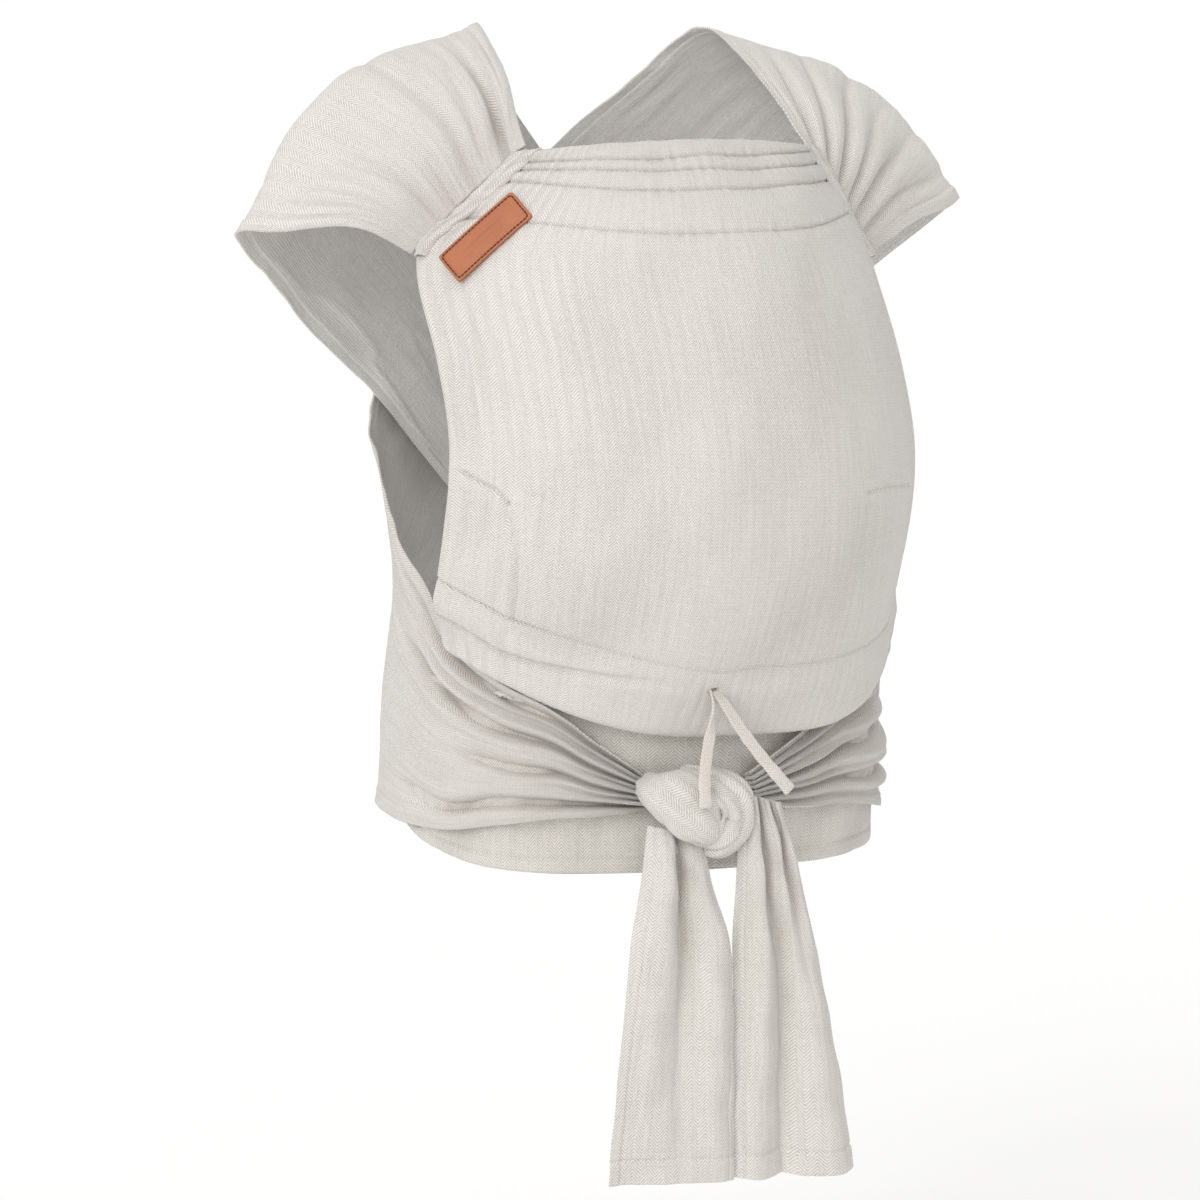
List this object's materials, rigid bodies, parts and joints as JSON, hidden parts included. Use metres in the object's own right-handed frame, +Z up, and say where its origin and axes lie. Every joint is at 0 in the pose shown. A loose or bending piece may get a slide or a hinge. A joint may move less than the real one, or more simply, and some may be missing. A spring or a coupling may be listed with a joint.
{
  "type": "baby wrap sling",
  "caption": "Worn tie-on baby carrier: bulged cloth panel, wide straps fanned over the shoulders and crossed behind, padded waistband, front knot with two hanging tails and a drawcord.",
  "frame": {"origin": "on the wearer's upright axis, level with the lower edge of the waistband in front", "axes": "+Z up, +Y towards the wearer's back, +X towards the wearer's left hand"},
  "size_m": [0.4964, 0.34, 0.7031],
  "materials": {
    "panel_cloth": "natural herringbone cotton, face side",
    "strap_cloth": "natural herringbone cotton, face side, in folds",
    "lining_cloth": "reverse side of the cotton cloth",
    "band_cloth": "natural herringbone cotton, waistband",
    "padding": "soft wadding",
    "tape": "flat woven cotton tape",
    "leather": "smooth tan leather, darker at the edge",
    "thread": "dark brown sewing thread"
  },
  "bodies": {
    "carrier": {"panel_outer": "panel_cloth", "panel_lining": "lining_cloth", "top_hem": "panel_cloth", "bottom_hem": "panel_cloth", "side_hem_left": "panel_cloth", "side_hem_right": "panel_cloth", "neck_pad_upper": "padding", "neck_pad_middle": "padding", "neck_pad_lower": "padding", "leg_pad_left": "padding", "leg_pad_right": "padding", "drawcord_left": "tape", "drawcord_right": "tape", "slit_stitching": "tape", "seat_fold": "lining_cloth", "leather_label": "leather", "label_stitching": "thread", "strap_seam_left": "strap_cloth", "strap_seam_right": "strap_cloth", "strap_shoulder_left": "strap_cloth", "strap_shoulder_right": "strap_cloth", "strap_back_left": "strap_cloth", "strap_back_right": "strap_cloth", "strap_waist_left": "strap_cloth", "strap_waist_right": "strap_cloth", "knot_loop_left": "strap_cloth", "knot_loop_right": "strap_cloth", "waistband_outer": "band_cloth", "waistband_pad": "padding", "waistband_lining": "lining_cloth", "waist_tie_left": "band_cloth", "waist_tie_right": "band_cloth", "waist_tie_end_left": "band_cloth", "waist_tie_end_right": "band_cloth", "waist_knot": "band_cloth"},
    "tail_left": {"tail_left": "strap_cloth"},
    "tail_right": {"tail_right": "strap_cloth"},
    "drawcord_end_left": {"drawcord_end_left": "tape"},
    "drawcord_end_right": {"drawcord_end_right": "tape"}
  },
  "joints": [
    {"name": "tail_left_swing", "type": "hinge", "parent": "carrier", "child": "tail_left", "pos_m": [-0.035, -0.143, 0.006], "axis": [-1, 0, 0], "range_deg": [-5, 60]},
    {"name": "tail_right_swing", "type": "hinge", "parent": "carrier", "child": "tail_right", "pos_m": [0.019, -0.143, 0.006], "axis": [-1, 0, 0], "range_deg": [-5, 60]},
    {"name": "drawcord_left_lift", "type": "hinge", "parent": "carrier", "child": "drawcord_end_left", "pos_m": [-0.015, -0.159, 0.1085], "axis": [-1, 0, 0], "range_deg": [0, 75]},
    {"name": "drawcord_right_lift", "type": "hinge", "parent": "carrier", "child": "drawcord_end_right", "pos_m": [-0.0075, -0.159, 0.1085], "axis": [-1, 0, 0], "range_deg": [0, 75]}
  ]
}
